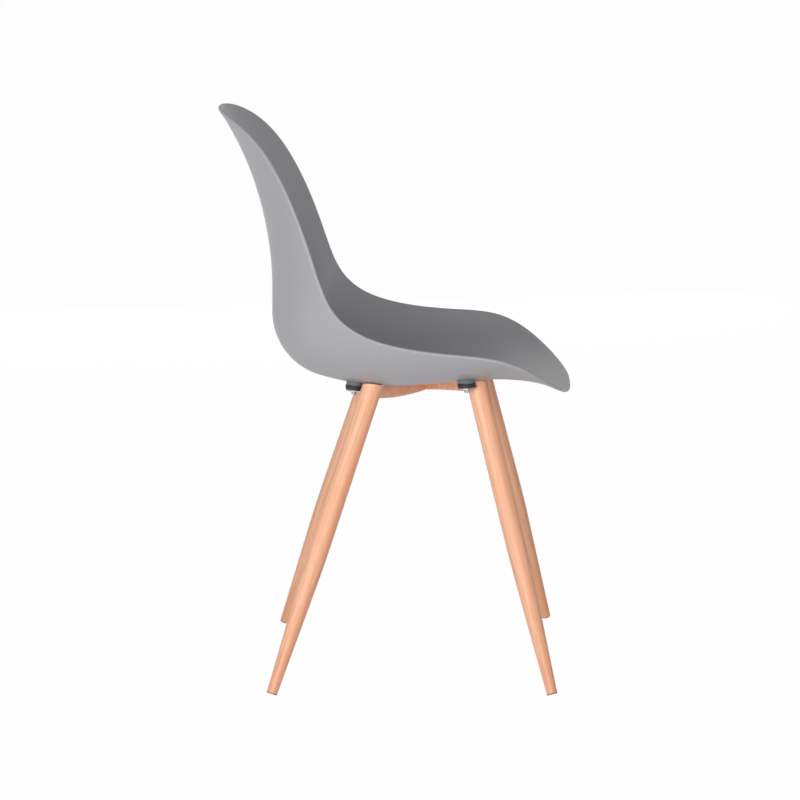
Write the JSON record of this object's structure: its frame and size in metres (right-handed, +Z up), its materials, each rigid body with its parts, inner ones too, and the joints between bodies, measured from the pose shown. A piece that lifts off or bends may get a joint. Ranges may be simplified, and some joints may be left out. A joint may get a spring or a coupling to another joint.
{
  "type": "moulded plastic shell chair",
  "caption": "Armless dining chair: one-piece moulded bucket shell screwed to splayed, tapered wood-look steel legs joined by crossed plates under the seat.",
  "frame": {"origin": "on the floor, under the middle of the chair's bounding box", "axes": "+Z up; the sitter faces -Y; +X is the sitter's left"},
  "size_m": [0.5112, 0.517, 0.8403],
  "materials": {
    "shell_plastic": "fine satin moulded polypropylene, mid grey",
    "wood_print": "steel tube and plate with a satin light-oak wood print",
    "zinc_steel": "bright zinc-plated steel",
    "spacer_rubber": "matt black moulded rubber",
    "brass_insert": "machined brass, hidden inside the bosses",
    "glide_plastic": "tan plastic a shade darker than the legs"
  },
  "bodies": {
    "root": {"seat_shell": "shell_plastic", "cross_blade_slotted_above": "wood_print", "cross_blade_slotted_below": "wood_print", "threaded_insert_front_left": "brass_insert", "threaded_insert_front_right": "brass_insert", "threaded_insert_rear_left": "brass_insert", "threaded_insert_rear_right": "brass_insert", "spacer_front_left": "spacer_rubber", "spacer_front_right": "spacer_rubber", "spacer_rear_left": "spacer_rubber", "spacer_rear_right": "spacer_rubber", "mounting_tab_front_left": "zinc_steel", "mounting_tab_front_right": "zinc_steel", "mounting_tab_rear_left": "zinc_steel", "mounting_tab_rear_right": "zinc_steel", "washer_front_left": "zinc_steel", "washer_front_right": "zinc_steel", "washer_rear_left": "zinc_steel", "washer_rear_right": "zinc_steel", "screw_front_left": "zinc_steel", "screw_front_right": "zinc_steel", "screw_rear_left": "zinc_steel", "screw_rear_right": "zinc_steel", "leg_front_left": "wood_print", "leg_front_right": "wood_print", "leg_rear_left": "wood_print", "leg_rear_right": "wood_print", "foot_glide_front_left": "glide_plastic", "foot_glide_front_right": "glide_plastic", "foot_glide_rear_left": "glide_plastic", "foot_glide_rear_right": "glide_plastic"}
  },
  "joints": []
}
